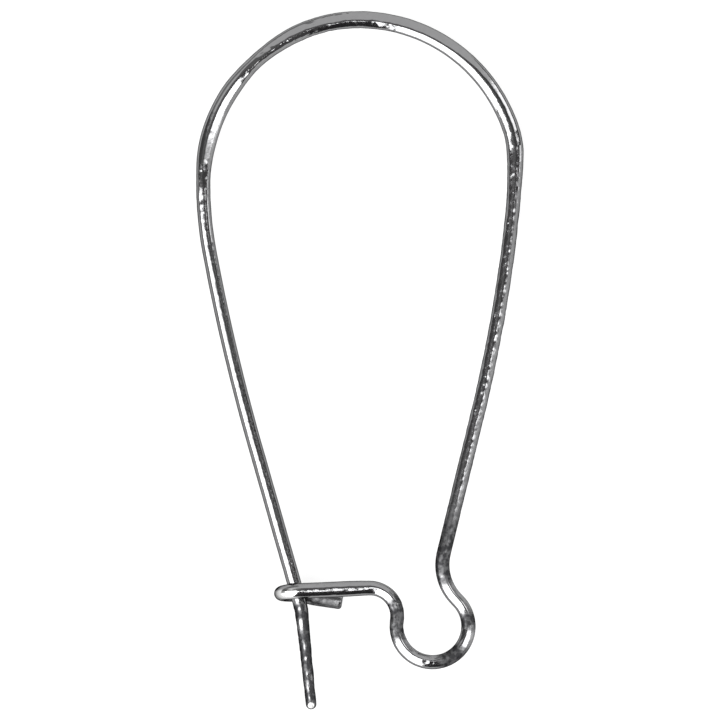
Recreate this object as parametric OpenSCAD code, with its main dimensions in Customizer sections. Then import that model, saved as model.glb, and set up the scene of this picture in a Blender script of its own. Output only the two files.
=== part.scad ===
// Kidney ear wire: one length of round wire, bent into a kidney-shaped loop that latches shut.
// One end is a straight post that goes through the ear lobe. The other end makes a small loop
// for a drop, runs across as an arm and turns back under itself into a catch for the post's leg.
//
// Lengths are in millimetres. The wire is drawn flat, from the top of its arch down both sides,
// and then laid on a level surface as it rests by itself: +X right, +Y to the arch, +Z up.

/* [Overall] */
// Height of the kidney, from the top of the arch down to the start of the catch arm
kidney_h = 26.9; // [23:0.05:34]
// Width of the kidney between the middles of its two legs, where it is widest
kidney_w = 14.75; // [12:0.05:18]

/* [Wire] */
// Diameter of the round wire
wire_d = 0.68; // [0.5:0.01:0.8]
// Width of the pressed arch, in the kidney's plane
pressed_w = 0.82; // [0.75:0.01:1]
// Thickness of the pressed arch, between its two flats
pressed_t = 0.6; // [0.45:0.01:0.7]
// Length over which the pressed arch runs out into the round wire
run_out_l = 1.2; // [0.6:0.1:2]

/* [Post] */
// Diameter of the post, where it sits in the ear lobe
post_d = 0.58; // [0.45:0.01:0.66]
// Length of the post's even part
post_l = 2.8; // [2.5:0.1:6]
// Length over which the wire narrows from the leg to the post
shank_l = 0.75; // [0.6:0.05:1.2]
// Diameter of the post's rounded tip
tip_d = 0.5; // [0.3:0.01:0.56]
// Length over which the post narrows to its tip
tip_l = 0.8; // [0.3:0.1:1.5]
// Angle of the post's slight bend just below the catch
kink_turn = 10; // [4:0.5:12]
// Radius of that bend, along the wire's middle
kink_r = 2.5; // [1.5:0.1:4]

/* [Drop loop] */
// Inside diameter of the small loop that a drop hangs in
loop_inner_d = 2.72; // [1.8:0.02:3.4]
// Angle that the wire turns through round the loop
loop_turn = 236; // [215:1:240]
// Radius of the bend that leads from the leg into the loop
s_bend_r = 2.3; // [1.5:0.1:3]
// Angle of that bend
s_bend_turn = 60; // [45:1:65]

/* [Catch] */
// Radius of the bend from the loop into the arm
arm_bend_r = 1.3; // [1:0.05:2]
// How far the arm slopes down towards the catch
arm_slope = 2.4; // [0:0.2:5]
// Clearance of the post's leg in the catch, from the arm above it and the prong below
latch_gap = 0.1; // [0.05:0.01:0.2]
// Gap left where the sprung leg bears on the inside of the catch's turn
bearing_gap = 0.03; // [0.02:0.01:0.1]
// Length of the return prong, under the arm, from the catch's turn to its cut end
prong_l = 2.15; // [1.2:0.05:3]
// Angle at which the prong spreads away from the arm
prong_spread = 14; // [4:1:18]
// How far the catch's turn leans over, seen along the arm
catch_roll = 4; // [0:1:12]

/* [Hidden] */
$fa = 1;
$fs = 0.05;

// Neighbouring stretches differ by this in radius and the thinner one reaches a little way into
// the other, so each joint is a clean step and not two surfaces lying in one another.
seam_step = 0.003;
seam_lap = 0.04;
run_out_inset = 0.01;
run_out_lap = 0.02;

// A stretch of wire is [length along its middle, angle it turns through, is it pressed]. A turn
// to the left is positive, and no turn is a straight stretch.
function straight(length) = [length, 0, false];
function bend(radius, turn, pressed = false) = [radius * abs(turn) * PI / 180, turn, pressed];
function curve(length, turn) = [length, turn, false];

// A place along the wire is [x, y, heading]. This is the place after a stretch that starts at from.
function bend_radius(stretch) = stretch[0] * 180 / PI / stretch[1];
function after(from, stretch) =
    let (heading = from[2], onward = heading + stretch[1])
    stretch[1] == 0
        ? [from[0] + stretch[0] * cos(heading), from[1] + stretch[0] * sin(heading), heading]
        : let (radius = bend_radius(stretch))
          [
              from[0] + radius * (sin(onward) - sin(heading)),
              from[1] - radius * (cos(onward) - cos(heading)),
              onward,
          ];
function places(from, stretches) = [
    for (i = 0, at = from; i <= len(stretches); at = i < len(stretches) ? after(at, stretches[i]) : at, i = i + 1) at
];
function last(list) = list[len(list) - 1];

// The arch, one row a bend from its top: its radius as a share of half the kidney's width, and
// its turn. The shoulder after them takes what is left of the width and of the quarter turn.
POST_SIDE_CROWN = [[0.935, 29.5], [1.085, 24]];
LOOP_SIDE_CROWN = [[1.025, 71.5]];
// How far round from the top the pressing reaches on the post's side. On the loop's it is 90.
post_side_pressed = 68;

top = [0, 0, 0];
function crown_r(rows) = rows[0][0] * kidney_w / 2;
function crown(rows, side) = [for (row = rows) bend(row[0] * kidney_w / 2, side * row[1], true)];
function crown_end(rows) = last(places(top, crown(rows, 1)));
function shoulder_r(rows) =
    let (end = crown_end(rows))
    (kidney_w / 2 - end[0]) / (1 - sin(end[2]));

// The legs' slow curves below the arch, one row a curve: its length as a share of the kidney's
// height, and its turn.
POST_LEG_CURVES = [[0.12, 10.6], [0.35, 5.3]];
LOOP_LEG_CURVES = [[0.1, 5.8], [0.355, 7.9]];

// The loop's side, walked from the top of the arch to the start of the arm.
arch_loop_side = concat(
    crown(LOOP_SIDE_CROWN, -1),
    [bend(shoulder_r(LOOP_SIDE_CROWN), crown_end(LOOP_SIDE_CROWN)[2] - 90, true)]
);
loop_leg_curves = [for (row = LOOP_LEG_CURVES) curve(row[0] * kidney_h, -row[1])];
loop_leg_slant = LOOP_LEG_CURVES[0][1] + LOOP_LEG_CURVES[1][1];
loop_r = (loop_inner_d + wire_d) / 2;
arm_heading = 180 + arm_slope;
arm_turn = arm_heading - 270 + loop_leg_slant - s_bend_turn + loop_turn;
loop_bends = [
    bend(s_bend_r, s_bend_turn),
    bend(loop_r, -loop_turn),
    bend(arm_bend_r, arm_turn),
];
curves_end = last(places(last(places(top, arch_loop_side)), loop_leg_curves));
bends_drop = last(places([0, 0, curves_end[2]], loop_bends))[1];
loop_leg_l = (kidney_h + curves_end[1] + bends_drop) / cos(loop_leg_slant);
to_arm = concat(arch_loop_side, loop_leg_curves, [straight(loop_leg_l)], loop_bends);
arm_start = last(places(top, to_arm));

// The post's side, walked from the top of the arch to where its leg starts, with a short bend
// between that leans the leg back. The leg is drawn as if it lay flat.
arch_pressed_post_side = concat(
    crown(POST_SIDE_CROWN, 1),
    [bend(shoulder_r(POST_SIDE_CROWN), post_side_pressed - crown_end(POST_SIDE_CROWN)[2], true)]
);
arch_post_side = concat(
    arch_pressed_post_side,
    [bend(shoulder_r(POST_SIDE_CROWN), 90 - post_side_pressed)]
);
post_top = [0, 0, 180];
post_leg_curves = [for (row = POST_LEG_CURVES) curve(row[0] * kidney_h, row[1])];
arch_foot_post_side = last(places(post_top, arch_post_side));
lean_l = 0.2;
leg_top = arch_foot_post_side - [0, lean_l, 0];
leg_curves_end = last(places(leg_top, post_leg_curves));

// Where the straight part of the post's leg crosses the arm, seen from above: so far down the
// leg, and so far along the arm.
leg_way = [cos(leg_curves_end[2]), sin(leg_curves_end[2])];
arm_way = [cos(arm_heading), sin(arm_heading)];
between = [arm_start[0] - leg_curves_end[0], arm_start[1] - leg_curves_end[1]];
crossing = leg_way[0] * arm_way[1] - leg_way[1] * arm_way[0];
down_leg = (between[0] * arm_way[1] - between[1] * arm_way[0]) / crossing;
along_arm = (between[0] * leg_way[1] - between[1] * leg_way[0]) / crossing;
catch_at = [leg_curves_end[0] + down_leg * leg_way[0], leg_curves_end[1] + down_leg * leg_way[1]];

// The catch: the arm passes over the leg, turns down round it and comes back under it. The leg
// crosses the turn's plane at a skew, and is sprung out from the turn's middle to bear on it.
catch_r = wire_d + latch_gap;
leg_skew = leg_curves_end[2] - arm_heading - 90;
leg_spring = catch_r - (wire_d + bearing_gap) / cos(leg_skew);
arm_l = along_arm - leg_spring;
loop_side = concat(to_arm, [straight(arm_l)]);
arm_end = last(places(top, loop_side));
prong_bend_r = 1;
prong_heel_l = 0.1;
prong_bend = bend(prong_bend_r, -prong_spread);
prong = [
    straight(prong_heel_l),
    prong_bend,
    straight(prong_l - prong_heel_l - prong_bend[0]),
];
prong_start = [
    arm_end[0] + 2 * catch_r * sin(catch_roll) * cos(arm_heading + 90),
    arm_end[1] + 2 * catch_r * sin(catch_roll) * sin(arm_heading + 90),
    arm_heading - 180,
];
prong_depth = 2 * catch_r * cos(catch_roll);
prong_end = last(places(prong_start, prong));

// The post's leg leans back from the arch, so that it passes through the middle of the catch.
lean = atan(catch_r / (leg_top[1] - catch_at[1] + lean_l / 2));
lean_r = lean_l * 180 / PI / lean;
kink_below_catch = 0.6;
post_leg = concat(post_leg_curves, [straight(down_leg + kink_below_catch), bend(kink_r, -kink_turn)]);
leg_foot = last(places(leg_top, post_leg));

// A place on the leaning leg, drawn flat, where the lean puts it.
function turned_x(p, angle) =
    [p[0], p[1] * cos(angle) - p[2] * sin(angle), p[1] * sin(angle) + p[2] * cos(angle)];
function turned_z(p, angle) =
    [p[0] * cos(angle) - p[1] * sin(angle), p[0] * sin(angle) + p[1] * cos(angle), p[2]];
lean_from = [0, leg_top[1], 0];
lean_to = [0, arch_foot_post_side[1] - lean_r * sin(lean), -lean_r * (1 - cos(lean))];
function leaned(p) = turned_x(p - lean_from, lean) + lean_to;
post_reach = shank_l + post_l + tip_l + tip_d / 2;
post_tip = leaned([
    leg_foot[0] + post_reach * cos(leg_foot[2]),
    leg_foot[1] + post_reach * sin(leg_foot[2]),
    0,
]);

// At rest the wire lies on the whole length of its prong and on the outer edge of the arch's
// lower flat. The surface then rises along uphill, square to the prong, as the flat kidney sees it.
rest_side = prong_spread - arm_slope;
uphill = [sin(rest_side), cos(rest_side)];
arch_edge_r = crown_r(LOOP_SIDE_CROWN) + sqrt(pow(pressed_w, 2) - pow(pressed_t, 2)) / 2;
arch_foot = [arch_edge_r * uphill[0], arch_edge_r * uphill[1] - crown_r(LOOP_SIDE_CROWN), -pressed_t / 2];
foot_span = (arch_foot[0] - prong_end[0]) * uphill[0] + (arch_foot[1] - prong_end[1]) * uphill[1];
foot_rise = arch_foot[2] + prong_depth;
rest_pitch = atan2(foot_rise, foot_span) + asin(wire_d / 2 / norm([foot_span, foot_rise]));
function turned_down(p) = turned_z(turned_x(turned_z(p, rest_side), -rest_pitch), -rest_side);
lowest = turned_down(arch_foot);
leftmost = turned_down([-(kidney_w + wire_d) / 2, arch_foot_post_side[1], 0]);
rightmost = turned_down([(kidney_w + pressed_w) / 2, last(places(top, arch_loop_side))[1], 0]);
topmost = turned_down([0, pressed_w / 2, 0]);
to_surface = -[
    (leftmost[0] + rightmost[0]) / 2,
    (topmost[1] + turned_down(post_tip)[1]) / 2,
    lowest[2],
];

// The wire's cross-section: round, or round with two flats pressed on it.
module section(pressed, thick) {
    grow = thick ? 2 * seam_step : 0;
    if (pressed)
        intersection() {
            circle(d = pressed_w + grow);
            square([2 * pressed_w, pressed_t + grow], center = true);
        }
    else
        circle(d = wire_d + grow);
}

// A bend about Z, starting on +X. A thin one reaches into its neighbours at both ends.
module bent_wire(radius, turn, pressed, thick) {
    lap_turn = thick ? 0 : seam_lap * 180 / PI / radius;
    rotate([0, 0, -lap_turn])
        rotate_extrude(angle = turn + 2 * lap_turn)
            translate([radius, 0])
                section(pressed, thick);
}

// One stretch of wire, straight or bent.
module wire(from, stretch, thick) {
    radius = stretch[1] == 0 ? 0 : bend_radius(stretch);
    lap = thick ? 0 : seam_lap;
    if (stretch[1] == 0)
        translate([from[0], from[1], 0])
            rotate([0, 0, from[2]])
                translate([-lap, 0, 0])
                    rotate([0, 90, 0])
                        linear_extrude(stretch[0] + 2 * lap)
                            section(false, thick);
    else
        translate([from[0] - radius * sin(from[2]), from[1] + radius * cos(from[2]), 0])
            rotate([0, 0, stretch[1] > 0 ? from[2] - 90 : from[2] + 90 + stretch[1]])
                bent_wire(abs(radius), abs(stretch[1]), stretch[2], thick);
}

// Stretches one after another. Counted from the top of the arch, the even ones are thick.
function is_thick(count) = count % 2 == 0;
module wires(from, stretches, count) {
    at = places(from, stretches);
    for (i = [0:len(stretches) - 1])
        wire(at[i], stretches[i], is_thick(count + i));
}

// The run-out of the pressing: a cone over the round wire, with its flats opening out.
module run_out(from) {
    translate([from[0], from[1], 0])
        rotate([0, 0, from[2]])
            translate([-run_out_lap, 0, 0])
                intersection() {
                    rotate([0, 90, 0])
                        cylinder(
                            d1 = pressed_w - run_out_inset,
                            d2 = wire_d - 2 * run_out_inset,
                            h = run_out_l
                        );
                    rotate([90, 0, 0])
                        linear_extrude(2 * pressed_w, center = true)
                            polygon([
                                [-run_out_lap, -(pressed_t - run_out_inset) / 2],
                                [run_out_l, -wire_d / 2 - run_out_inset],
                                [run_out_l, wire_d / 2 + run_out_inset],
                                [-run_out_lap, (pressed_t - run_out_inset) / 2],
                            ]);
                }
}

// The loop's side: half the arch, the leg, the drop loop and the arm.
module loop_side() {
    wires(top, loop_side, 0);
    run_out(last(places(top, arch_loop_side)));
}

// The catch: the turn round the leg and the return prong with its cut end.
module catch_hook() {
    translate([arm_end[0], arm_end[1], 0])
        rotate([0, 0, arm_heading])
            rotate([90 + catch_roll, 0, 0])
                translate([0, -catch_r, 0])
                    rotate([0, 0, -90])
                        bent_wire(catch_r, 180, false, is_thick(len(loop_side)));
    translate([0, 0, -prong_depth])
        wires(prong_start, prong, len(loop_side) + 1);
}

// The post's side of the arch.
module post_side() {
    wires(post_top, arch_post_side, 1);
    run_out(last(places(post_top, arch_pressed_post_side)));
}

// The bend that leans the leg back.
module lean_bend() {
    translate([arch_foot_post_side[0], arch_foot_post_side[1], -lean_r])
        rotate([90, 0, 90])
            rotate([0, 0, 90])
                bent_wire(lean_r, lean, false, is_thick(1 + len(arch_post_side)));
}

// The post: the leg narrows to an even pin with a rounded tip.
module post() {
    translate([leg_foot[0], leg_foot[1], 0])
        rotate([0, 0, leg_foot[2]])
            rotate([0, 90, 0])
                rotate_extrude() {
                    polygon([
                        [0, -seam_lap],
                        [wire_d / 2 - seam_step, -seam_lap],
                        [wire_d / 2 - seam_step, 0],
                        [post_d / 2, shank_l],
                        [post_d / 2, shank_l + post_l],
                        [tip_d / 2, shank_l + post_l + tip_l],
                        [0, shank_l + post_l + tip_l],
                    ]);
                    translate([0, shank_l + post_l + tip_l])
                        intersection() {
                            circle(d = tip_d);
                            square(tip_d);
                        }
                }
}

module leaning_leg() {
    translate(lean_to)
        rotate([lean, 0, 0])
            translate(-lean_from) {
                wires(leg_top, post_leg, 2 + len(arch_post_side));
                post();
            }
}

module ear_wire() {
    color("silver")
        translate(to_surface)
            rotate([0, 0, -rest_side])
                rotate([-rest_pitch, 0, 0])
                    rotate([0, 0, rest_side]) {
                        loop_side();
                        catch_hook();
                        post_side();
                        lean_bend();
                        leaning_leg();
                    }
}

ear_wire();
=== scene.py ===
# %% [markdown]
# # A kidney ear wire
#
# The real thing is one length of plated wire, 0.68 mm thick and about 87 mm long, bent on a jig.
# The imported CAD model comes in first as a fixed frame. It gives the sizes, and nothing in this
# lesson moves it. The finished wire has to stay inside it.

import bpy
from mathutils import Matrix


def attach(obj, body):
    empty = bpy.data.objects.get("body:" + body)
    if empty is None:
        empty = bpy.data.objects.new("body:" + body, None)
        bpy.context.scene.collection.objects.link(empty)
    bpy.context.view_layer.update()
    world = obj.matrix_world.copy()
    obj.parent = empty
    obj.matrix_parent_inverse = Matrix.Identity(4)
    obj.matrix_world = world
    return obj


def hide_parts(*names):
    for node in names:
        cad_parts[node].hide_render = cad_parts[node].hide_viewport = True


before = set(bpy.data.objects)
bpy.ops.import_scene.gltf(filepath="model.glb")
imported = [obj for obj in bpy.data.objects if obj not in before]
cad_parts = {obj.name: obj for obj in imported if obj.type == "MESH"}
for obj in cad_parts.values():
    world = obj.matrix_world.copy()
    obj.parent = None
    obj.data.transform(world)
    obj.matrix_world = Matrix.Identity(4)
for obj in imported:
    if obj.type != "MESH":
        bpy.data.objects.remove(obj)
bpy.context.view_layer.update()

# %% The other tools and the unit
import math

import bpy
import numpy as np

MM = 0.001
print("Blender", bpy.app.version_string, "and numpy", np.__version__)

# %% [markdown]
# ## The wire's way
#
# A bender makes this shape as a list of stretches: so long, turned through so many degrees. The
# same list makes it here. The other way would be a Bezier curve with hand-placed points, but its
# bends are never quite round, and in polished metal that shows. The sizes are the CAD model's
# own, in millimetres and degrees, and each stands where it is first needed.

# %% Sizes of the whole
KIDNEY_H = 26.9
KIDNEY_W = 14.75
HALF = KIDNEY_W / 2
WIRE_D = 0.68
print("kidney", KIDNEY_W, "by", KIDNEY_H, "mm, of wire", WIRE_D, "mm thick")


# %% A flat walk along stretches
def arc(radius, turn):
    """A stretch as [length, turn]: an arc is as long as its radius times its turn in radians."""
    return [radius * abs(math.radians(turn)), turn]


def chord(heading, length, turn):
    """The straight way from one end of an arc to the other. It leaves at the mean of the two
    headings, and it is the arc's length times sin(x) / x, where x is half the turn."""
    reach = length * np.sinc(turn / 360)
    mean = np.radians(heading + turn / 2)
    return np.stack([reach * np.cos(mean), reach * np.sin(mean)], -1)


def walk(start, stretches, step=None):
    """Places [x, y] and headings along a wire that is bent flat, from start = [x, y, heading].
    A place is the corner before it plus the chord walked since. With no step, only the end."""
    length, turn = np.array(stretches, float).T
    begun = np.concatenate([[0], np.cumsum(length)])
    heading = start[2] + np.concatenate([[0], np.cumsum(turn)])
    corner = np.concatenate([[[0, 0]], np.cumsum(chord(heading[:-1], length, turn), 0)]) + start[:2]
    if step is None:
        return np.array([*corner[-1], heading[-1]])
    walked = np.linspace(0, begun[-1], int(begun[-1] / step) + 1)
    which = np.clip(np.searchsorted(begun, walked, "right") - 1, 0, len(length) - 1)
    on = walked - begun[which]
    turned = turn[which] * on / length[which]
    return corner[which] + chord(heading[which], on, turned), heading[which] + turned


print("a quarter turn of radius 1 ends at", walk([0, 0, 0], [arc(1, 90)]).round(3).tolist())

# %% [markdown]
# The arch is a few large bends with a tighter shoulder at each side. The shoulder takes what is
# left of the half width and of the quarter turn, so the legs start straight down. The legs then
# curve slowly, and the loop's leg is as long as it takes to bring the arm to its height.


# %% The two sides as lists of stretches
def shoulder(crown, turned):
    """The bend from the crown's end on to a turn of so many degrees. Its radius is the width left
    over the sideways share left, which is one minus the sine of the heading."""
    end = walk([0, 0, 0], crown)
    radius = (HALF - end[0]) / (1 - math.sin(math.radians(end[2])))
    return arc(radius, turned - end[2])


# The crowns' radii are shares of the half width, and the turns are degrees.
LOOP_CROWN_R = 1.025 * HALF
loop_crown = [arc(LOOP_CROWN_R, 71.5)]
post_crown = [arc(0.935 * HALF, 29.5), arc(1.085 * HALF, 24)]
loop_arch = [[row[0], -row[1]] for row in loop_crown + [shoulder(loop_crown, 90)]]
post_arch = post_crown + [shoulder(post_crown, 90)]
# The legs' slow curves are shares of the height long.
loop_curves = [[0.1 * KIDNEY_H, -5.8], [0.355 * KIDNEY_H, -7.9]]
post_curves = [[0.12 * KIDNEY_H, 10.6], [0.35 * KIDNEY_H, 5.3]]
print("loop's arch:", np.round(loop_arch, 2).tolist())
print("post's arch:", np.round(post_arch, 2).tolist())

# %% From the loop's leg to the arm
S_BEND_R = 2.3
S_BEND_TURN = 60
LOOP_INNER_D = 2.72
LOOP_R = (LOOP_INNER_D + WIRE_D) / 2
LOOP_TURN = 236
ARM_BEND_R = 1.3
ARM_SLOPE = 2.4
LOOP_SLANT = -sum(turn for length, turn in loop_curves)
ARM_HEADING = 180 + ARM_SLOPE
arm_turn = ARM_HEADING - 270 + LOOP_SLANT - S_BEND_TURN + LOOP_TURN
loop_bends = [arc(S_BEND_R, S_BEND_TURN), arc(LOOP_R, -LOOP_TURN), arc(ARM_BEND_R, arm_turn)]
curves_end = walk([0, 0, 0], loop_arch + loop_curves)
bends_drop = walk([0, 0, curves_end[2]], loop_bends)[1]
loop_leg_l = (KIDNEY_H + curves_end[1] + bends_drop) / math.cos(math.radians(LOOP_SLANT))
to_arm = loop_arch + loop_curves + [[loop_leg_l, 0]] + loop_bends
arm_start = walk([0, 0, 0], to_arm)
print("loop's leg is straight for", round(loop_leg_l, 2), "mm, arm starts at", arm_start.round(3))

# %% The post's leg
LEAN_L = 0.2
arch_foot = walk([0, 0, 180], post_arch)
leg_top = arch_foot - [0, LEAN_L, 0]
leg_curves_end = walk(leg_top, post_curves)
print("leg's slow curves end at", leg_curves_end.round(3))

# %% [markdown]
# The leg goes through the catch where its straight line meets the arm's. A bender finds that
# place by trying. Here the two lines are crossed, which is exact. The real leg springs against
# the catch, but a skin that touches itself would look welded, so the arm ends where the catch
# just clears the leg.


# %% Where the leg crosses the arm
def way(heading):
    """The unit step along a heading: the heading's cosine and sine."""
    return np.array([math.cos(math.radians(heading)), math.sin(math.radians(heading))])


leg_way = way(leg_curves_end[2])
arm_way = way(ARM_HEADING)
down_leg, along_arm = np.linalg.solve(
    np.stack([leg_way, -arm_way], 1), arm_start[:2] - leg_curves_end[:2]
)
catch_at = leg_curves_end[:2] + down_leg * leg_way
print("leg crosses the arm at", catch_at.round(3))

# %% The whole of both sides
LATCH_GAP = 0.1
CATCH_R = WIRE_D + LATCH_GAP
BEARING_GAP = 0.03
KINK_BELOW_CATCH = 0.6
KINK_R = 2.5
KINK_TURN = 10
SHANK_L = 0.75
POST_L = 2.8
TIP_L = 0.8
TIP_D = 0.5
leg_skew = leg_curves_end[2] - ARM_HEADING - 90
leg_spring = CATCH_R - (WIRE_D + BEARING_GAP) / math.cos(math.radians(leg_skew))
loop_side = to_arm + [[along_arm - leg_spring, 0]]
post_side = (
    post_arch
    + [[LEAN_L, 0]]
    + post_curves
    + [[down_leg + KINK_BELOW_CATCH, 0], arc(KINK_R, -KINK_TURN)]
    + [[SHANK_L + POST_L + TIP_L + TIP_D / 2, 0]]
)
lean = math.atan(CATCH_R / (leg_top[1] - catch_at[1] + LEAN_L / 2))
print("leg leans back", round(math.degrees(lean), 2), "degrees")

# %% [markdown]
# ## From the flat to the round
#
# Three flat walks make the whole wire: the post's side, the loop's side and the prong. The post's
# side is leaned back through the catch, and a half turn in an upright plane joins the arm to the
# prong beneath it. Beside each place goes the direction that points out of the kidney, so that
# the pressed arch can later be made lopsided in the right sense. The prong's end is pinched
# wider than the wire, so it is bent 12 degrees here, two fewer than in the model, and its outer
# edge stays where the model's is.

# %% The leaned side
STEP = 0.01
LEAN_R = LEAN_L / lean


def leaned(flat):
    """Flat places with the leg leaned back. Below the arch's foot the wire goes round a small
    bend about X: on by the radius times the sine of the turn, and down by the radius times one
    minus the cosine. From the bend's end on it goes straight down the slope."""
    below = np.maximum(arch_foot[1] - flat[:, 1], 0)
    bend = np.minimum(below, LEAN_L) / LEAN_R
    rest = np.maximum(below - LEAN_L, 0)
    y = np.maximum(flat[:, 1], arch_foot[1]) - LEAN_R * np.sin(bend) - rest * math.cos(lean)
    z = -LEAN_R * (1 - np.cos(bend)) - rest * math.sin(lean)
    return np.stack([flat[:, 0], y, z], 1)


def flat_sides(heading, side):
    """The level direction square to each heading, to its left (+1) or its right (-1): minus the
    heading's sine and its cosine, times the side."""
    turned = np.radians(heading)
    return side * np.stack([-np.sin(turned), np.cos(turned), 0 * turned], 1)


post_flat, post_heading = walk([0, 0, 180], post_side, STEP)
loop_flat, loop_heading = walk([0, 0, 0], loop_side, STEP)
post_middle = leaned(post_flat)[::-1]
loop_middle = np.pad(loop_flat, ((0, 0), (0, 1)))
print("places on the post's side:", len(post_middle), "on the loop's side:", len(loop_middle))

# %% The catch
CATCH_ROLL = 4
arm_end = loop_middle[-1]
arm_left = flat_sides(np.array([ARM_HEADING]), 1)[0]
roll = math.radians(CATCH_ROLL)
catch_up = np.array([0, 0, math.cos(roll)]) - math.sin(roll) * arm_left
catch_angle = np.linspace(0, math.pi, int(math.pi * CATCH_R / STEP))[:, None]
catch_middle = arm_end + CATCH_R * (
    np.sin(catch_angle) * np.append(arm_way, 0) + (np.cos(catch_angle) - 1) * catch_up
)
print("places in the catch:", len(catch_middle))

# %% The prong
PRONG_L = 2.15
PRONG_HEEL_L = 0.1
PRONG_PIN_R = 1
PRONG_DRAWN = 12
prong_from = [*catch_middle[-1, :2], ARM_HEADING - 180]
prong_bend = arc(PRONG_PIN_R, -PRONG_DRAWN)
prong = [[PRONG_HEEL_L, 0], prong_bend, [PRONG_L - PRONG_HEEL_L - prong_bend[0], 0]]
prong_flat, prong_heading = walk(prong_from, prong, STEP)
prong_middle = np.column_stack([prong_flat, np.full(len(prong_flat), catch_middle[-1, 2])])
print("places on the prong:", len(prong_middle))

# %% The middle of the wire in space
rough_middle = np.concatenate([post_middle, loop_middle[1:], catch_middle[1:], prong_middle[1:]])
rough_out = np.concatenate([
    flat_sides(post_heading, -1)[::-1],
    flat_sides(loop_heading, 1)[1:],
    np.repeat(arm_left[None], len(catch_middle) - 1, 0),
    flat_sides(prong_heading, -1)[1:],
])
print("wire places:", len(rough_middle))

# %% [markdown]
# A jig leaves no sudden change from straight to bent, because springy wire eases into a bend.
# A soft running mean over the places does the same. Without it each joint between two arcs
# would show as a break in the reflections.


# %% Ease the wire into its bends
def eased(rows, width):
    """Each row becomes a mean of its neighbours out to four widths, with the width in millimetres.
    A neighbour's weight is e to minus half the square of the way to it over the width. The ends
    are carried on in a straight line first, so they stay where they are."""
    reach = int(4 * width / STEP)
    weight = np.exp(-0.5 * (np.arange(-reach, reach + 1) * STEP / width) ** 2)
    weight /= weight.sum()
    count = np.arange(1, reach + 1)[:, None]
    before = rows[0] - count[::-1] * (rows[1] - rows[0])
    after = rows[-1] + count * (rows[-1] - rows[-2])
    padded = np.concatenate([before, rows, after])
    return np.stack([np.convolve(column, weight, "valid") for column in padded.T], 1)


EASE = 0.12
middle = eased(rough_middle, EASE)
outward = eased(rough_out, EASE)
gone = np.linalg.norm(np.diff(middle, axis=0), axis=1)
station = np.concatenate([[0], np.cumsum(gone)])
WIRE_L = station[-1]
TOP_AT = station[len(post_middle) - 1]
ARM_AT = station[len(post_middle) + len(loop_middle) - 2]
print("wire length", round(WIRE_L, 2), "mm")
print("arch top at", round(TOP_AT, 2), "and arm's end at", round(ARM_AT, 2))

# %% [markdown]
# ## Rings round the wire
#
# The surface is a grid: rings along the wire, and columns round it. A curve with a bevel makes
# such a tube too, but with the same section all along, and this wire is pressed in places. Rings
# stand evenly, a little over a twentieth of a millimetre apart, but crowd together at the rounded
# tip and at the cut end, where the radius changes fast.

# %% Stations of the rings
COLUMNS = 56
RINGS = 1620
TIP_RINGS = 14
TIP_R = TIP_D / 2
TIP_WEAR = 0.004
CUT_ROUND = 0.15
CUT_RINGS = 10
CUT_HALF_W = 0.4
quarter = np.linspace(0, math.pi / 2, TIP_RINGS + 1)[1:]
tip_at = TIP_WEAR + (TIP_R - TIP_WEAR) * (1 - np.cos(quarter))
cut_turn = np.linspace(0, math.pi / 2, CUT_RINGS + 1)
cut_at = WIRE_L - CUT_ROUND * (1 - np.sin(cut_turn))
between = np.linspace(TIP_R, WIRE_L - CUT_ROUND, RINGS)[1:-1]
at = np.concatenate([tip_at, between, cut_at])
closing = np.concatenate([
    np.sin(quarter),
    np.ones(len(between)),
    1 - (1 - np.cos(cut_turn)) * CUT_ROUND / CUT_HALF_W,
])
print("rings:", len(at), "triangles:", 2 * len(at) * COLUMNS)

# %% Directions at the rings
centre = np.stack([np.interp(at, station, column) for column in middle.T], 1)
tangent = np.stack([
    np.interp(at, station, column) for column in np.gradient(middle, station, axis=0).T
], 1)
tangent /= np.linalg.norm(tangent, axis=1)[:, None]
out = np.stack([np.interp(at, station, column) for column in outward.T], 1)
out -= (out * tangent).sum(1)[:, None] * tangent
out /= np.linalg.norm(out, axis=1)[:, None]
up = np.cross(tangent, out)
print("at its steepest, in the catch, it rises", np.abs(tangent[:, 2]).max().round(3), "of its length")

# %% [markdown]
# The section changes along the wire. It is nearly round on the legs, and has narrow flats where
# the jig's pins bore on it. On the arch it was pressed: a flat that faces up and a little to one
# side, rounded flanks and a level underside. One formula makes them all: an ellipse, cut by
# flats, where the cut is the smooth least of the distances. A boolean cut would do it too, but
# would leave no control over how crisp the edges are.


# %% The section's formula
def ellipse(angle, wide, high):
    """The radius of an ellipse in a direction: one over the root of the squares of the cosine
    over the half width and the sine over the half height."""
    return 1 / np.sqrt((np.cos(angle) / wide) ** 2 + (np.sin(angle) / high) ** 2)


def cut_by_flat(radius, angle, facing, distance, crisp):
    """The smooth least of the radius and the way to a flat that faces a direction, which is its
    distance over the cosine between. One over each is raised to a power, the two are added, and
    the result is one over the sum's root of that power. A higher power makes a crisper edge."""
    nearness = np.maximum(np.cos(angle - facing), 0) / distance
    return (radius**-crisp + nearness**crisp) ** (-1 / crisp)


print("an ellipse of 2 by 1, halfway up:", ellipse(math.pi / 4, 2, 1).round(3))

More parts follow.
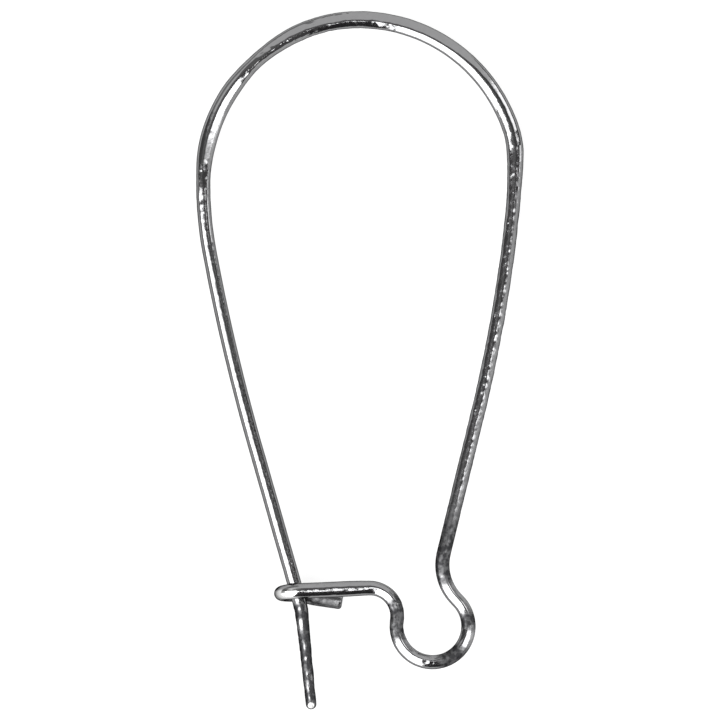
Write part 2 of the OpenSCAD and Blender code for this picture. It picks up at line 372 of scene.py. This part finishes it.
# %% Places along the wire
POST_AT = TIP_R + TIP_L
SHANK_AT = POST_AT + POST_L
LEG_AT = SHANK_AT + SHANK_L
CATCH_AT = LEG_AT + 1
PRESSED_REACH = 11.6
PRESSED_FROM = TOP_AT - PRESSED_REACH
PRESSED_TO = TOP_AT + PRESSED_REACH
S_BEND_AT = TOP_AT + sum(row[0] for row in loop_arch + loop_curves) + loop_leg_l
LOOP_AT = S_BEND_AT + loop_bends[0][0]
ARM_BEND_AT = LOOP_AT + loop_bends[1][0]
ARM_FROM = ARM_BEND_AT + loop_bends[2][0]
HOOK_AT = ARM_AT + math.pi * CATCH_R
print("bends at", [round(v, 2) for v in (S_BEND_AT, LOOP_AT, ARM_BEND_AT, ARM_FROM, ARM_AT, HOOK_AT)])


# %% Half widths and half heights along the wire
def along(*knots, over=15):
    """A value along the wire, one for each ring, straight between knots of [station, value] and
    then eased by a running mean over an odd number of rings."""
    where, value = np.array(knots, float).T
    rough = np.interp(at, where, value)
    padded = np.pad(rough, over // 2, mode="edge")
    return np.convolve(padded, np.ones(over) / over, "valid")[:, None]


# The post thins a little towards its tip.
R = WIRE_D / 2
POST_R = 0.275
SHANK_R = 0.295
PRESSED_W = 0.82
PRESSED_HALF_W = PRESSED_W / 2
ARM_HALF_W = 0.37
wide = along(
    [0, TIP_R], [POST_AT, POST_R], [SHANK_AT, SHANK_R], [LEG_AT, R],
    [PRESSED_FROM, R], [PRESSED_FROM + 1.2, 0.4], [PRESSED_FROM + 2, 0.42], [TOP_AT - 7.2, 0.415],
    [TOP_AT - 5.8, 0.35], [TOP_AT - 5.0, 0.35], [TOP_AT - 3, PRESSED_HALF_W],
    [PRESSED_TO - 1, PRESSED_HALF_W], [PRESSED_TO + 1, R], [ARM_FROM - 0.5, R],
    [ARM_FROM + 0.5, ARM_HALF_W], [ARM_AT, ARM_HALF_W], [ARM_AT + 1, R], [HOOK_AT, R],
    [HOOK_AT + 0.5, 0.43], [HOOK_AT + 1.2, 0.42], [WIRE_L, CUT_HALF_W],
)
high = along(
    [0, TIP_R], [POST_AT, POST_R], [SHANK_AT, SHANK_R], [LEG_AT, R], [HOOK_AT, R],
    [HOOK_AT + 0.6, 0.325], [WIRE_L, R],
)
underside = along(
    [PRESSED_FROM, 0.4], [PRESSED_FROM + 1, 0.3], [PRESSED_TO - 1, 0.3], [PRESSED_TO + 1, 0.4]
)
print("half width from", wide.min().round(3), "to", wide.max().round(3))

# %% [markdown]
# A flat is told by three values along the wire: how many degrees it faces outwards, how far it
# lies from the wire's middle, and how crisp its edges are. Past the wire's own radius it cuts
# nothing, so it runs out by itself.

# %% The upper flat
facet_tilt = along(
    [CATCH_AT, 5], [PRESSED_FROM - 2, 5], [PRESSED_FROM - 0.4, -6], [PRESSED_FROM + 0.7, -13],
    [TOP_AT - 6.5, -13], [TOP_AT - 5.2, 14], [TOP_AT - 4, 22], [TOP_AT + 8, 22],
    [S_BEND_AT - 2, 0], [S_BEND_AT + 0.4, -10], [LOOP_AT + 0.4, -10], [LOOP_AT + 1.2, 9],
    [LOOP_AT + 1.8, 12], [ARM_BEND_AT - 1.2, 12], [ARM_BEND_AT - 0.4, 4], [ARM_BEND_AT + 0.4, 10],
    [ARM_FROM - 0.4, 10], [ARM_FROM, 6.3], [HOOK_AT - 0.3, 6.3], [HOOK_AT, 28], [WIRE_L, 28],
)
facet_far = along(
    [CATCH_AT, 0.335], [PRESSED_FROM - 5, 0.335], [PRESSED_FROM - 3, 0.36], [PRESSED_FROM - 0.9, 0.36],
    [PRESSED_FROM - 0.1, 0.312], [TOP_AT - 6.8, 0.312], [TOP_AT - 5.4, 0.33], [TOP_AT - 4, 0.31],
    [TOP_AT - 2.5, 0.3], [TOP_AT + 4.5, 0.3], [TOP_AT + 7, 0.36], [TOP_AT + 9, 0.45],
    [S_BEND_AT - 0.6, 0.4], [S_BEND_AT + 0.6, 0.315], [LOOP_AT + 0.2, 0.315], [LOOP_AT + 0.7, 0.335],
    [LOOP_AT + 1.4, 0.304], [LOOP_AT + 2.6, 0.304], [LOOP_AT + 3.2, 0.318],
    [ARM_BEND_AT - 1.6, 0.318], [ARM_BEND_AT - 0.6, 0.33],
    [ARM_BEND_AT + 0.5, 0.318], [ARM_FROM, 0.326], [ARM_AT, 0.328], [ARM_AT + 0.8, 0.45],
    [HOOK_AT, 0.45], [HOOK_AT + 0.4, 0.328], [HOOK_AT + 1.4, 0.328], [HOOK_AT + 1.9, 0.42],
)
crisp = along([TOP_AT - 7, 40], [TOP_AT - 5, 18], [TOP_AT + 8, 18], [TOP_AT + 10, 50], [WIRE_L, 50])
print("upper flat faces from", facet_tilt.min().round(1), "to", facet_tilt.max().round(1), "degrees")

# %% The flank's flat
# The jig's pins leave it on the side of the loop's bends that looks to +X.
FLANK_CRISP = 50
flank_tilt = along([LOOP_AT + 2.6, 42], [LOOP_AT + 3.4, -42], [WIRE_L, -42])
flank_far = along(
    [S_BEND_AT - 2.5, 0.4], [S_BEND_AT - 0.5, 0.313], [LOOP_AT + 2.2, 0.313], [LOOP_AT + 2.7, 0.4],
    [LOOP_AT + 3.3, 0.4], [LOOP_AT + 3.8, 0.313], [ARM_FROM - 0.6, 0.313], [ARM_FROM, 0.4],
)
print("flank's flat lies", flank_far.min().round(3), "mm out where it is nearest")

# %% The clean section all along
UNDERSIDE_CRISP = 44
angle = np.linspace(0, 2 * math.pi, COLUMNS, endpoint=False)[None] - math.pi / 2
radius = ellipse(angle, wide, high)
radius = cut_by_flat(radius, angle, math.pi / 2 - np.radians(facet_tilt), facet_far, crisp)
radius = cut_by_flat(radius, angle, math.pi / 2 - np.radians(flank_tilt), flank_far, FLANK_CRISP)
radius = cut_by_flat(radius, angle, -math.pi / 2, underside, UNDERSIDE_CRISP)
print("radius from", radius[TIP_RINGS:].min().round(3), "to", radius.max().round(3))

# %% [markdown]
# ## Handling marks
#
# Findings lie loose in bags, and rub each other. The plate has shallow dents and pits a fraction
# of a millimetre wide, most on the post and along the loop's leg. In a polished surface they show
# as broken highlights, so they are real here: the skin moves in. A bump in the finish would break
# the highlights too, but it would leave the outline too perfect.

# %% Noise over the skin
dice = np.random.default_rng(33)
RING_GAP = WIRE_L / RINGS
COLUMN_GAP = math.pi * WIRE_D / COLUMNS


def mottle(size, stretch=1):
    """Even noise over the skin: random numbers blurred by a bell of a width in millimetres, by
    multiplying their frequencies with the bell's own. It is stretched along the wire."""
    rows, columns = len(at), COLUMNS
    noise = np.fft.rfft2(dice.standard_normal((rows, columns)))
    along_f = np.fft.fftfreq(rows)[:, None] / RING_GAP
    round_f = np.fft.rfftfreq(columns)[None] / COLUMN_GAP
    blur = np.exp(-2 * (math.pi * size) ** 2 * ((stretch * along_f) ** 2 + round_f**2))
    made = np.fft.irfft2(noise * blur, (rows, columns))
    return made / made.std()


PITS_FROM = 1.7
coarse = mottle(0.1, 1.8)
fine = mottle(0.045, 1.3)
pits = np.maximum(mottle(0.04) - PITS_FROM, 0)
waves = mottle(0.3, 2.5)
print("share of the skin that is pitted:", (pits > 0).mean().round(3))

# %% [markdown]
# How worn the wire is changes along it, from a tenth to a little over one. The depths of the
# marks are in millimetres where it is one. The skin is also worn down a little as a whole, and
# nothing may stand out past the clean section.

# %% Dents and pits
COARSE_DEEP = 0.006
FINE_DEEP = 0.0042
PITS_DEEP = 0.01
WORN_DOWN = 0.008
WAVES_DEEP = 0.0014
EVEN_DOWN = 0.001
worn = along(
    [0, 0.2], [0.4, 0.2], [0.6, 1.1], [LEG_AT + 0.3, 1.2], [LEG_AT + 0.9, 0.3], [LEG_AT + 5, 0.15],
    [PRESSED_FROM - 2.5, 0.15], [PRESSED_FROM - 1.6, 0.5], [PRESSED_FROM + 0.3, 0.5],
    [PRESSED_FROM + 0.9, 0.12], [TOP_AT - 6.5, 0.2], [TOP_AT - 5.5, 0.7], [TOP_AT + 1.5, 0.7],
    [TOP_AT + 3, 0.15], [PRESSED_TO - 3, 0.25], [PRESSED_TO, 0.6], [PRESSED_TO + 6, 0.9],
    [PRESSED_TO + 13, 0.9], [S_BEND_AT - 2, 0.35], [S_BEND_AT, 0.12], [LOOP_AT + 2.8, 0.15],
    [LOOP_AT + 3.4, 0.5], [LOOP_AT + 4, 0.12], [ARM_BEND_AT - 1, 0.2], [ARM_BEND_AT - 0.6, 0.8],
    [ARM_BEND_AT + 0.9, 0.8], [ARM_BEND_AT + 1.1, 0.1], [ARM_FROM, 0.25], [ARM_FROM + 0.6, 0.35],
    [ARM_AT - 1, 0.35], [ARM_AT, 0.2], [ARM_AT + 0.4, 0.1], [HOOK_AT, 0.1], [WIRE_L, 0.1],
)
marks = COARSE_DEEP * coarse + FINE_DEEP * fine - PITS_DEEP * pits - WORN_DOWN
dents = np.minimum(worn * marks + WAVES_DEEP * waves - EVEN_DOWN, 0)
print("dents in mm: spread", dents.std().round(4), "deepest", dents.min().round(4))

# %% [markdown]
# A few nicks are larger than the rest, and catch the light one by one: at the shoulders, at the
# foot of the loop and where the arm begins. Each is one bell-shaped dent, put where the photo has
# it. A sculpting brush could press them in, but a short table is easier to change. A row tells
# its place along the wire, its angle round it in degrees from the outer side, and its spread
# along and across the wire. All but the angle are in millimetres.


# %% Nicks
def bell(where, degrees, long, broad):
    """A bell-shaped patch of the skin, 1 in its middle: e to minus half the sum of two squares, of
    the ways along and across the wire from the patch's middle, each over its own spread."""
    away = (at[:, None] - where) / long
    round_it = (angle - math.radians(degrees) + math.pi) % (2 * math.pi) - math.pi
    return np.exp(-0.5 * (away**2 + (round_it * R / broad) ** 2))


NICKS = [
    [TOP_AT - 6.05, 105, 0.07, 0.05], [TOP_AT - 11.4, 75, 0.06, 0.05],
    [TOP_AT - 11, 110, 0.07, 0.04], [TOP_AT + 12.2, 60, 0.06, 0.05],
    [TOP_AT + 12.6, 95, 0.05, 0.05], [TOP_AT + 36.35, 80, 0.04, 0.04],
    [TOP_AT + 36.65, 85, 0.07, 0.04], [TOP_AT + 40.05, 120, 0.03, 0.1],
]
NICK_DEEP = 0.012
nicks = sum(bell(*row) for row in NICKS)
dents = dents - NICK_DEEP * nicks
print("nicks:", len(NICKS), "each", NICK_DEEP, "mm deep")

# %% [markdown]
# The dents go into the radius last, and the rings shrink towards both ends, so that the tip is
# round and the cut end has a soft edge.

# %% The finished radius
radius = (radius + dents) * closing[:, None]
print("radius with dents from", radius[TIP_RINGS:].min().round(3), "to", radius.max().round(3))

# %% [markdown]
# ## Laid on the surface
#
# Left alone on a table, the wire lies on its prong and on the arch's outer edge. It could be
# dropped there in a simulation, but the two feet give its slope exactly. The same small turn that
# lays the CAD model down is made here, so both lie in one place.

# %% How far the wire tips
PRESSED_T = 0.6
PRONG_SPREAD = 14
rest_side = PRONG_SPREAD - ARM_SLOPE
uphill = np.array([math.sin(math.radians(rest_side)), math.cos(math.radians(rest_side))])
arch_edge_r = LOOP_CROWN_R + math.sqrt(PRESSED_W**2 - PRESSED_T**2) / 2
edge = np.array([*(arch_edge_r * uphill), -PRESSED_T / 2]) - [0, LOOP_CROWN_R, 0]
foot_span = (edge[:2] - prong_middle[-1, :2]) @ uphill
foot_rise = edge[2] - prong_middle[-1, 2]
rest_pitch = math.atan2(foot_rise, foot_span) + math.asin(R / math.hypot(foot_span, foot_rise))
print("tips by", round(math.degrees(rest_pitch), 3), "degrees")


# %% The turn that lays it down
def turn_about_x(angle):
    """The matrix that turns about X: it mixes Y and Z by the angle's cosine and sine."""
    return np.array([
        [1, 0, 0],
        [0, math.cos(angle), -math.sin(angle)],
        [0, math.sin(angle), math.cos(angle)],
    ])


def turn_about_z(angle):
    """The matrix that turns about Z: it mixes X and Y by the angle's cosine and sine."""
    return np.array([
        [math.cos(angle), -math.sin(angle), 0],
        [math.sin(angle), math.cos(angle), 0],
        [0, 0, 1],
    ])


side_turn = math.radians(rest_side)
laid = turn_about_z(-side_turn) @ turn_about_x(-rest_pitch) @ turn_about_z(side_turn)
print("up becomes", (laid @ [0, 0, 1]).round(4).tolist())

# %% The way to the surface and to the middle
leftmost = laid @ [-(KIDNEY_W + WIRE_D) / 2, arch_foot[1], 0]
rightmost = laid @ [(KIDNEY_W + PRESSED_W) / 2, walk([0, 0, 0], loop_arch)[1], 0]
topmost = laid @ [0, PRESSED_W / 2, 0]
to_surface = -np.array([
    (leftmost[0] + rightmost[0]) / 2,
    (topmost[1] + (laid @ post_middle[0])[1]) / 2,
    (laid @ edge)[2],
])
print("moved by", to_surface.round(3).tolist(), "mm")

# %% Lay the rings down
skin = (
    centre[:, None]
    + out[:, None] * (radius * np.cos(angle))[..., None]
    + up[:, None] * (radius * np.sin(angle))[..., None]
)
skin = (skin @ laid.T + to_surface) * MM
poles = np.stack([middle[0] + TIP_WEAR * tangent[0], middle[-1]])
ends = (poles @ laid.T + to_surface) * MM
skin_box = np.stack([skin.min((0, 1)), skin.max((0, 1))]) / MM
print("box in mm:", skin_box.round(3).tolist())


# %% Make the mesh
def tube_mesh(name, skin, ends):
    """A closed tube from a grid of places, ring by ring, with a fan of triangles to a pole at each
    end. Each four neighbours make a face, counted so that it looks outwards."""
    rings, columns = skin.shape[:2]
    number = np.arange(rings * columns).reshape(rings, columns)
    beside = np.roll(number, -1, 1)
    quads = np.stack([number[:-1], beside[:-1], beside[1:], number[1:]], -1).reshape(-1, 4)
    first = np.full(columns, rings * columns)
    head = np.stack([first, beside[0], number[0]], 1)
    tail = np.stack([first + 1, number[-1], beside[-1]], 1)
    mesh = bpy.data.meshes.new(name)
    places = np.concatenate([skin.reshape(-1, 3), ends])
    mesh.from_pydata(places.tolist(), [], quads.tolist() + head.tolist() + tail.tolist())
    mesh.update()
    mesh.shade_smooth()
    made = bpy.data.objects.new(name, mesh)
    bpy.context.scene.collection.objects.link(made)
    return made


wire = tube_mesh("kidney_wire", skin, ends)
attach(wire, "root")
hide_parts("ear_wire")
print("mesh:", len(wire.data.vertices), "points,", len(wire.data.polygons), "faces")

# %% [markdown]
# ## Dull places and painted highlights
#
# The plate isn't equally bright all over. Jig pins and fingers leave a dull film: on the post, in
# the bends of the loop, on the prong. Within it some spots are rubbed free again. On the tip of
# the post and the outside of the hook a highlight is painted: a bright white colour that stands
# in for the glints there. Both are values on the skin's own points, so the finish finds them
# wherever the wire goes. A picture laid on the wire could say the same, but the tube would have
# to be unrolled for it.

# %% How much film along the wire
film_along = along(
    [0, 0.9], [0.5, 1.4], [LEG_AT + 0.35, 1.4], [LEG_AT + 0.5, 0.2],
    [PRESSED_FROM - 4, 0.2], [PRESSED_FROM, 0.3], [PRESSED_FROM + 1.5, 0.1], [TOP_AT + 8, 0.1],
    [TOP_AT + 12, 0.3], [TOP_AT + 21, 0.25], [S_BEND_AT - 3, 0.5], [S_BEND_AT - 1.2, 1],
    [S_BEND_AT + 1.3, 1.2], [S_BEND_AT + 1.6, 0.05], [LOOP_AT + 0.6, 0.05], [LOOP_AT + 0.9, 1.2],
    [LOOP_AT + 1.4, 1.2], [LOOP_AT + 1.6, 0.05], [LOOP_AT + 2.2, 0.05], [LOOP_AT + 2.6, 1.2],
    [LOOP_AT + 3.5, 1.1], [LOOP_AT + 3.9, 0.05], [ARM_BEND_AT - 1.1, 0.05],
    [ARM_BEND_AT - 0.8, 1], [ARM_BEND_AT + 1, 1.1], [ARM_BEND_AT + 1.03, 0.05],
    [ARM_AT + 0.72, 0.05], [ARM_AT + 0.88, 1.1], [HOOK_AT + 1, 1], [WIRE_L, 0.6],
    over=5,
)
print("film along the wire from", film_along.min().round(2), "to", film_along.max().round(2))

# %% Spots rubbed free of it
# The rows say what the nicks' rows say.
FREE_SPOTS = [
    [3.97, 76, 0.15, 0.07], [2.98, 84, 0.15, 0.06], [2.42, 82, 0.08, 0.06], [1.66, 84, 0.1, 0.06],
    [1.07, 78, 0.19, 0.07], [0.6, 80, 0.08, 0.05], [4.79, 75, 0.07, 0.05], [4.9, 130, 0.2, 0.05],
    [TOP_AT + 31.0, 106, 0.06, 0.06], [TOP_AT + 33.7, 60, 0.05, 0.06],
]
speckled = along(
    [LEG_AT, 1], [LEG_AT + 1, 0], [ARM_BEND_AT - 1, 0], [ARM_BEND_AT - 0.8, 3],
    [ARM_BEND_AT + 0.9, 3], [ARM_BEND_AT + 1.1, 0],
)
SPECKS_FROM = 1.4
specks = speckled * np.maximum(coarse - SPECKS_FROM, 0)
free = nicks + sum(bell(*row) for row in FREE_SPOTS) + specks
film_share = film_along * np.maximum(1 - free, 0)
print("film on a share of", (film_share > 0.5).mean().round(3), "of the skin")


# %% Where a highlight is painted white
def ramp(value, low, high):
    """0 up to one limit and 1 from another on, straight between: the value less the low limit,
    over the way between the two, kept from 0 to 1."""
    return np.clip((value - low) / (high - low), 0, 1)


# Painted highlight: the round tip and the hook's front get a near-white colour for their glints.
TIP_HIGHLIGHT_SPOT = [0.18, 88, 0.12, 0.2]
tip_highlight = ramp(bell(*TIP_HIGHLIGHT_SPOT), 0.45, 0.65)
hook_highlight = along([ARM_AT + 0.1, 0], [ARM_AT + 0.35, 1], [ARM_AT + 0.7, 1], [ARM_AT + 0.85, 0])
HOOK_FACING = math.radians(45)
towards_front = ramp(np.cos(angle - HOOK_FACING), 0.35, 0.6)
highlight_share = np.maximum(tip_highlight, hook_highlight * towards_front)
print("rubbed share of the skin:", (highlight_share > 0.5).mean().round(3))


# %% Paint both on the points
def paint(name, value):
    """A value of the skin's own for each point of the mesh: ring by ring, then the two poles."""
    made = wire.data.attributes.new(name, "FLOAT", "POINT")
    full = np.broadcast_to(value, radius.shape)
    made.data.foreach_set("value", np.concatenate([full.ravel(), [full[0, 0], full[-1, 0]]]))


paint("film", film_share)
paint("painted_highlight", highlight_share)
print("painted:", [attribute.name for attribute in wire.data.attributes])

# %% [markdown]
# ## The finish
#
# Plated wire is a mirror with flaws, so the finish is a smooth metal. Its grey is quite dark,
# because in the photo the white table shows as a mid grey in the wire, and only lamps come out
# white. The metal's edge tint is black, a painted shade: seen at a glancing angle the plate goes
# dark, and that paints the fine dark line of shade round the wire's outline. Glossy paint could
# copy the grey, but not the mirror.


# %% An empty material
def new_material(name):
    """An empty node material, with its nodes, its links and its output."""
    material = bpy.data.materials.new(name)
    material.use_nodes = True
    material.node_tree.nodes.clear()
    output = material.node_tree.nodes.new("ShaderNodeOutputMaterial")
    return material, material.node_tree.nodes, material.node_tree.links, output


plate, nodes, links, output = new_material("polished_plate")
shader = nodes.new("ShaderNodeBsdfPrincipled")
shader.inputs["Metallic"].default_value = 1
# Black edge tint: painted shade that darkens the plate at glancing angles, drawing a dark line round
# the wire.
shader.inputs["Specular Tint"].default_value = (0, 0, 0, 1)
links.new(shader.outputs["BSDF"], output.inputs["Surface"])
wire.data.materials.append(plate)
coordinates = nodes.new("ShaderNodeTexCoord")
print("material:", plate.name)

# %% [markdown]
# The film is the same metal, only darker and rougher, in soft patches a quarter of a millimetre
# wide. Where a highlight is painted, the colour is near white, so the plate gives back nearly all
# the light. A very low bump adds grain, finer than the mesh can hold.


# %% Soft patches
def cloud(per_mm, detail):
    """Soft noise in the object's own space, from 0 to 1, with so many patches to a millimetre."""
    noise = nodes.new("ShaderNodeTexNoise")
    noise.inputs["Scale"].default_value = per_mm / MM
    noise.inputs["Detail"].default_value = detail
    links.new(coordinates.outputs["Object"], noise.inputs["Vector"])
    return noise.outputs["Fac"]


def spread(value, low, high, to_low, to_high):
    """A value between two limits, carried over to two others with soft ends: the share t of the
    way becomes 3 t squared less 2 t cubed."""
    node = nodes.new("ShaderNodeMapRange")
    node.interpolation_type = "SMOOTHSTEP"
    node.inputs["From Min"].default_value = low
    node.inputs["From Max"].default_value = high
    node.inputs["To Min"].default_value = to_low
    node.inputs["To Max"].default_value = to_high
    links.new(value, node.inputs["Value"])
    return node.outputs["Result"]


PATCHES_PER_MM = 4
THINNEST_FILM = 0.6
patches = spread(cloud(PATCHES_PER_MM, 3), 0.35, 0.65, THINNEST_FILM, 1)
print("nodes for the patches:", len(nodes))


# %% The film's share
def product(first, second):
    """One value times another."""
    node = nodes.new("ShaderNodeMath")
    node.operation = "MULTIPLY"
    links.new(first, node.inputs[0])
    links.new(second, node.inputs[1])
    return node.outputs["Value"]


def painted(name):
    """A value that was painted on the points."""
    node = nodes.new("ShaderNodeAttribute")
    node.attribute_name = name
    return node.outputs["Fac"]


film = product(patches, painted("film"))
print("nodes with the film:", len(nodes))


# %% Colour
def mixed(share, first, second):
    """The second colour times a share, plus the first times what is left of one. Either can be a
    colour or another node's output."""
    node = nodes.new("ShaderNodeMix")
    node.data_type = "RGBA"
    links.new(share, node.inputs["Factor"])
    for side, colour in (("A", first), ("B", second)):
        if isinstance(colour, tuple):
            node.inputs[side].default_value = colour
        else:
            links.new(colour, node.inputs[side])
    return node.outputs["Result"]


CLEAN = (0.27, 0.27, 0.274, 1)
FILMED = (0.038, 0.038, 0.04, 1)
# A near-white colour, the painted highlight on the tip and the hook.
HIGHLIGHT_WHITE = (0.9, 0.9, 0.89, 1)
tone = mixed(painted("painted_highlight"), mixed(film, CLEAN, FILMED), HIGHLIGHT_WHITE)
links.new(tone, shader.inputs["Base Color"])
print("nodes with the colour:", len(nodes))

# %% Roughness
POLISHED_ROUGH = 0.11
FILMED_ROUGH = 0.4
links.new(spread(film, 0, 1, POLISHED_ROUGH, FILMED_ROUGH), shader.inputs["Roughness"])
print("nodes with the roughness:", len(nodes))

# %% Grain
GRAIN_PER_MM = 16
GRAIN_DEEP = 0.01
GRAIN_STRENGTH = 0.12
grain = nodes.new("ShaderNodeBump")
grain.inputs["Strength"].default_value = GRAIN_STRENGTH
grain.inputs["Distance"].default_value = GRAIN_DEEP * MM
links.new(cloud(GRAIN_PER_MM, 2), grain.inputs["Height"])
links.new(grain.outputs["Normal"], shader.inputs["Normal"])
print("nodes in the plate:", len(nodes))

# %% [markdown]
# ## The studio
#
# A mirror shows the room, so the room makes the look. The highlights of the real wire tell where
# things stood: broad lamps at the left and the front, narrower ones at the right, a low one
# behind, and dark things between them. They are copied as cards, pieces of one large ball round
# the wire. Area lamps would light it too, but a card's edges can be put just where a streak in
# the wire has to end. Each is given by two azimuths, counted from +X towards +Y, two angles from
# straight up, and how strongly it shines. The rest of the room is a soft pale light from
# everywhere.

# %% Cards round the wire
CARD_R = 0.8
CARD_GRID = 17


def card(name, azimuths, polars, glow):
    """A piece of a ball round the wire, between two azimuths and two angles from straight up. Its
    places are the ball's radius times the sines and cosines of the two. It shines evenly, and the
    camera doesn't see it."""
    turn = np.radians(np.linspace(*azimuths, CARD_GRID))[None]
    fall = np.radians(np.linspace(*polars, CARD_GRID))[:, None]
    level = np.cos(fall) + 0 * turn
    places = CARD_R * np.stack([np.sin(fall) * np.cos(turn), np.sin(fall) * np.sin(turn), level], -1)
    number = np.arange(level.size).reshape(level.shape)
    quads = np.stack([number[:-1, :-1], number[1:, :-1], number[1:, 1:], number[:-1, 1:]], -1)
    mesh = bpy.data.meshes.new(name)
    mesh.from_pydata(places.reshape(-1, 3).tolist(), [], quads.reshape(-1, 4).tolist())
    made = bpy.data.objects.new(name, mesh)
    bpy.context.scene.collection.objects.link(made)
    material, nodes, links, output = new_material(name)
    light = nodes.new("ShaderNodeEmission")
    light.inputs["Strength"].default_value = glow
    links.new(light.outputs["Emission"], output.inputs["Surface"])
    mesh.materials.append(material)
    made.visible_camera = False


CARDS = [
    ("bright_left", (177, 222), (5, 60), 6.5),
    ("bright_front", (222, 258), (5, 62), 6.5),
    ("bright_front_low", (203, 256), (62, 88), 6),
    ("bright_tip", (200, 292), (2, 10), 6.5),
    ("bright_right", (332, 362), (17, 33), 6.5),
    ("pale_right_low", (331, 344), (33, 88), 1),
    ("bright_right_low", (344, 352), (33, 62), 4),
    ("pale_right_lowest", (344, 352), (62, 88), 1.5),
    ("bright_behind", (20, 42), (40, 70), 4),
    ("bright_beside", (5, 12), (60, 80), 3.5),
    ("pale_right", (352, 364), (33, 88), 1.2),
    ("black_front", (258, 294), (10, 88), 0.05),
    ("dim_beside", (294, 331), (5, 60), 0.16),
    ("dim_right", (328, 364), (5, 17), 0.12),
    ("pale_right_edge", (362, 371), (17, 33), 1.9),
    ("shade_above", (0, 360), (0, 5), 0.15),
    ("shade_behind", (60, 177), (5, 34), 0.32),
    ("shade_right", (11, 60), (5, 36), 0.14),
    ("shade_right_top", (4, 11), (5, 17), 0.14),
    ("shade_right_foot", (4, 11), (33, 36), 0.14),
    ("black_right", (5, 20), (36, 60), 0.06),
    ("black_right_low", (12, 20), (60, 88), 0.06),
    ("dim_low_behind", (20, 50), (72, 88), 0.15),
    ("dim_behind", (95, 150), (60, 88), 0.5),
    ("dark_left", (150, 177), (34, 88), 0.15),
    ("dark_left_low", (177, 192), (60, 88), 0.5),
    ("dim_left_low", (192, 203), (62, 88), 0.75),
]
for row in CARDS:
    card(*row)
print("cards:", len(CARDS))

# %% The room
ROOM_GLOW = 1.22
world = bpy.data.worlds.new("room")
world.use_nodes = True
room = world.node_tree.nodes["Background"]
room.inputs["Color"].default_value = (1, 1, 1, 1)
room.inputs["Strength"].default_value = ROOM_GLOW
bpy.context.scene.world = world
print("room light:", ROOM_GLOW)

# %% [markdown]
# The photo has no shadow under the wire. Such pictures are taken on a table of opal glass that is
# lit from below. A white floor under the lamps would be simpler, but the wire would shade it. So
# the floor is such a table: plain, shining a little less than full white, and taking the rest
# from the room.

# %% The lit table
TABLE_REACH = 4
TABLE_GREY = (0.16, 0.16, 0.16, 1)
TABLE_GLOW = 0.86
floor_mesh = bpy.data.meshes.new("floor")
corners = [(x * TABLE_REACH, y * TABLE_REACH, 0) for x, y in ((-1, -1), (1, -1), (1, 1), (-1, 1))]
floor_mesh.from_pydata(corners, [], [(0, 1, 2, 3)])
floor = bpy.data.objects.new("floor", floor_mesh)
bpy.context.scene.collection.objects.link(floor)
paper, paper_nodes, paper_links, paper_output = new_material("pale_paper")
glow_shader = paper_nodes.new("ShaderNodeBsdfPrincipled")
glow_shader.inputs["Base Color"].default_value = TABLE_GREY
glow_shader.inputs["Roughness"].default_value = 1
glow_shader.inputs["Specular IOR Level"].default_value = 0
glow_shader.inputs["Emission Color"].default_value = (1, 1, 1, 1)
glow_shader.inputs["Emission Strength"].default_value = TABLE_GLOW
paper_links.new(glow_shader.outputs["BSDF"], paper_output.inputs["Surface"])
floor_mesh.materials.append(paper)
print("table:", paper.name, "shining", TABLE_GLOW)

# %% [markdown]
# ## The camera
#
# The photo is taken from straight above, close enough to fill the picture. The lens could be
# found by trying, but it is worked out from the size that one photo pixel has on the table.

# %% The camera
CAMERA_H = 0.6
MM_PER_PIXEL = 0.047337
PHOTO_PIXELS = 720
SENSOR_W = 36
camera = bpy.data.cameras.new("camera")
camera.sensor_width = SENSOR_W
camera.lens = SENSOR_W * CAMERA_H / (MM_PER_PIXEL * PHOTO_PIXELS * MM)
camera.clip_end = 10
view = bpy.data.objects.new("camera", camera)
view.location = (0, 0, CAMERA_H)
bpy.context.scene.collection.objects.link(view)
bpy.context.scene.camera = view
bpy.context.scene.view_settings.view_transform = "Standard"
print("lens in mm:", round(camera.lens, 1))
